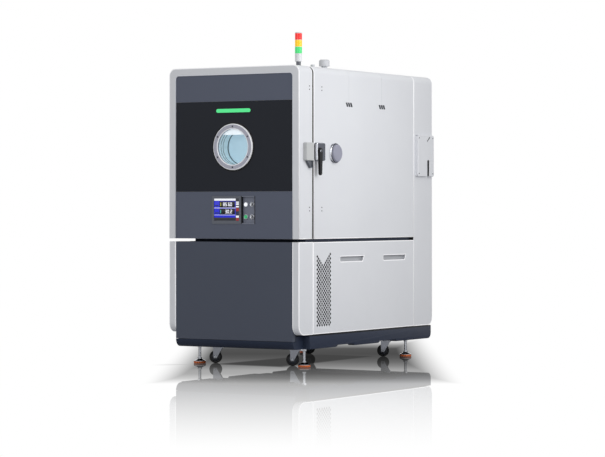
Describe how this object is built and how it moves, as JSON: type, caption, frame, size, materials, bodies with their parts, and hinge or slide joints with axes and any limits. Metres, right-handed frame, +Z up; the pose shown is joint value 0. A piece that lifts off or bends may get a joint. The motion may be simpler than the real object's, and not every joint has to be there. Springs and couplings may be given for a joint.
{
  "type": "environmental test chamber",
  "caption": "Floor-standing climatic test chamber with a hinged windowed door, touch screen, cable port, lift-off side covers, castors and levelling feet.",
  "frame": {"origin": "on the floor under the middle of the outline", "axes": "+X to the right seen from the front, +Y from the door to the back, +Z up"},
  "size_m": [0.9583, 1.63, 1.955],
  "materials": {
    "light_paint": "satin powder coat",
    "slate_paint": "satin",
    "dark_frame": "satin",
    "insulation": "matte",
    "stainless": "brushed",
    "chrome": "polished",
    "grey_rubber": "matte",
    "black_rubber": "matte",
    "black_plastic": "satin",
    "grey_plastic": "satin",
    "amber_lens": "gloss",
    "aluminium_fins": "satin",
    "black_steel": "satin",
    "black_glass": "gloss",
    "ring_metal": "satin",
    "clear_glass": "gloss",
    "white_lamp": "gloss",
    "green_lamp": "gloss",
    "screen": "gloss",
    "dark_steel": "satin"
  },
  "bodies": {
    "cabinet": {"base_plinth": "dark_frame", "machine_frame": "dark_frame", "lower_front_panel": "slate_paint", "front_pillars": "light_paint", "cabinet_shell": "light_paint", "cabinet_insulation": "insulation", "inner_liner": "stainless", "rear_column": "light_paint", "rear_panel": "light_paint", "service_cover": "light_paint", "port_tube": "chrome", "latch_housing": "chrome", "hinge_knuckles": "stainless", "signal_base": "grey_plastic", "signal_lenses": "amber_lens", "top_fittings": "grey_plastic", "air_baffle": "stainless", "evaporator": "aluminium_fins", "heater": "stainless", "fan_motor": "dark_frame", "shelves": "stainless", "compressors": "black_steel", "condenser": "aluminium_fins"},
    "door": {"door_shell": "light_paint", "door_face_panels": "slate_paint", "door_glass_band": "black_glass", "door_insulation": "insulation", "door_liner": "stainless", "door_gasket": "black_rubber", "viewport_frame": "ring_metal", "viewport_glass": "clear_glass", "viewport_lamp": "white_lamp", "light_bar": "green_lamp", "hmi_bezel": "grey_plastic", "hmi_screen": "screen", "control_panel": "dark_steel", "latch_keeper": "light_paint", "hinge_leaves": "stainless"},
    "latch": {"latch_lever": "black_plastic"},
    "start_button": {"start_button": "green_lamp"},
    "lamp_button": {"lamp_button": "white_lamp"},
    "upper_selector": {"upper_selector": "chrome"},
    "lower_selector": {"lower_selector": "chrome"},
    "cable_plug": {"cable_plug": "grey_rubber"},
    "access_left": {"access_panel_left": "light_paint"},
    "access_right": {"access_panel_right": "light_paint"},
    "circulation_fan": {"circulation_fan": "aluminium_fins"},
    "condenser_fan": {"condenser_fan": "black_plastic"},
    "castor_front_left": {"castor_fork_front_left": "chrome"},
    "wheel_front_left": {"castor_wheel_front_left": "black_rubber"},
    "foot_front_left": {"levelling_foot_front_left": "chrome"},
    "castor_rear_left": {"castor_fork_rear_left": "chrome"},
    "wheel_rear_left": {"castor_wheel_rear_left": "black_rubber"},
    "foot_rear_left": {"levelling_foot_rear_left": "chrome"},
    "castor_front_right": {"castor_fork_front_right": "chrome"},
    "wheel_front_right": {"castor_wheel_front_right": "black_rubber"},
    "foot_front_right": {"levelling_foot_front_right": "chrome"},
    "castor_rear_right": {"castor_fork_rear_right": "chrome"},
    "wheel_rear_right": {"castor_wheel_rear_right": "black_rubber"},
    "foot_rear_right": {"levelling_foot_rear_right": "chrome"}
  },
  "joints": [
    {"name": "door_hinge", "type": "hinge", "parent": "cabinet", "child": "door", "pos_m": [-0.462, -0.6515, 1.25], "axis": [0, 0, -1], "range_deg": [0, 120]},
    {"name": "latch_turn", "type": "hinge", "parent": "cabinet", "child": "latch", "pos_m": [0.48, -0.618, 1.257], "axis": [1, 0, 0], "range_deg": [0, 90]},
    {"name": "start_button_press", "type": "slide", "parent": "door", "child": "start_button", "axis": [0, 1, 0], "range_m": [0, 0.004], "stiffness_N_per_m": 500},
    {"name": "lamp_button_press", "type": "slide", "parent": "door", "child": "lamp_button", "axis": [0, 1, 0], "range_m": [0, 0.004], "stiffness_N_per_m": 500},
    {"name": "lower_selector_turn", "type": "hinge", "parent": "door", "child": "lower_selector", "pos_m": [0.1205, -0.787, 0.875], "axis": [0, 1, 0], "range_deg": [0, 90]},
    {"name": "upper_selector_turn", "type": "hinge", "parent": "door", "child": "upper_selector", "pos_m": [0.1205, -0.787, 0.947], "axis": [0, 1, 0], "range_deg": [0, 90]},
    {"name": "cable_plug_pull", "type": "slide", "parent": "cabinet", "child": "cable_plug", "axis": [1, 0, 0], "range_m": [0, 0.2]},
    {"name": "access_left_pull", "type": "slide", "parent": "cabinet", "child": "access_left", "axis": [-1, 0, 0], "range_m": [0, 0.25]},
    {"name": "access_right_pull", "type": "slide", "parent": "cabinet", "child": "access_right", "axis": [1, 0, 0], "range_m": [0, 0.25]},
    {"name": "circulation_fan_spin", "type": "hinge", "parent": "cabinet", "child": "circulation_fan", "pos_m": [0, 0.138, 1.4835], "axis": [0, 1, 0], "continuous": true},
    {"name": "condenser_fan_spin", "type": "hinge", "parent": "cabinet", "child": "condenser_fan", "pos_m": [0, 0.543, 0.47], "axis": [0, 1, 0], "continuous": true},
    {"name": "castor_front_left_swivel", "type": "hinge", "parent": "cabinet", "child": "castor_front_left", "pos_m": [-0.27, -0.537, 0.1], "axis": [0, 0, 1], "continuous": true},
    {"name": "wheel_front_left_roll", "type": "hinge", "parent": "castor_front_left", "child": "wheel_front_left", "pos_m": [-0.29175, -0.54714, 0.0375], "axis": [0.4226, -0.9063, 0], "continuous": true},
    {"name": "foot_front_left_screw", "type": "slide", "parent": "cabinet", "child": "foot_front_left", "axis": [0, 0, -1], "range_m": [0, 0.025]},
    {"name": "castor_rear_left_swivel", "type": "hinge", "parent": "cabinet", "child": "castor_rear_left", "pos_m": [-0.27, 0.545, 0.1], "axis": [0, 0, 1], "continuous": true},
    {"name": "wheel_rear_left_roll", "type": "hinge", "parent": "castor_rear_left", "child": "wheel_rear_left", "pos_m": [-0.29175, 0.53486, 0.0375], "axis": [0.4226, -0.9063, 0], "continuous": true},
    {"name": "foot_rear_left_screw", "type": "slide", "parent": "cabinet", "child": "foot_rear_left", "axis": [0, 0, -1], "range_m": [0, 0.025]},
    {"name": "castor_front_right_swivel", "type": "hinge", "parent": "cabinet", "child": "castor_front_right", "pos_m": [0.27, -0.537, 0.1], "axis": [0, 0, 1], "continuous": true},
    {"name": "wheel_front_right_roll", "type": "hinge", "parent": "castor_front_right", "child": "wheel_front_right", "pos_m": [0.24825, -0.54714, 0.0375], "axis": [0.4226, -0.9063, 0], "continuous": true},
    {"name": "foot_front_right_screw", "type": "slide", "parent": "cabinet", "child": "foot_front_right", "axis": [0, 0, -1], "range_m": [0, 0.025]},
    {"name": "castor_rear_right_swivel", "type": "hinge", "parent": "cabinet", "child": "castor_rear_right", "pos_m": [0.27, 0.545, 0.1], "axis": [0, 0, 1], "continuous": true},
    {"name": "wheel_rear_right_roll", "type": "hinge", "parent": "castor_rear_right", "child": "wheel_rear_right", "pos_m": [0.24825, 0.53486, 0.0375], "axis": [0.4226, -0.9063, 0], "continuous": true},
    {"name": "foot_rear_right_screw", "type": "slide", "parent": "cabinet", "child": "foot_rear_right", "axis": [0, 0, -1], "range_m": [0, 0.025]}
  ]
}
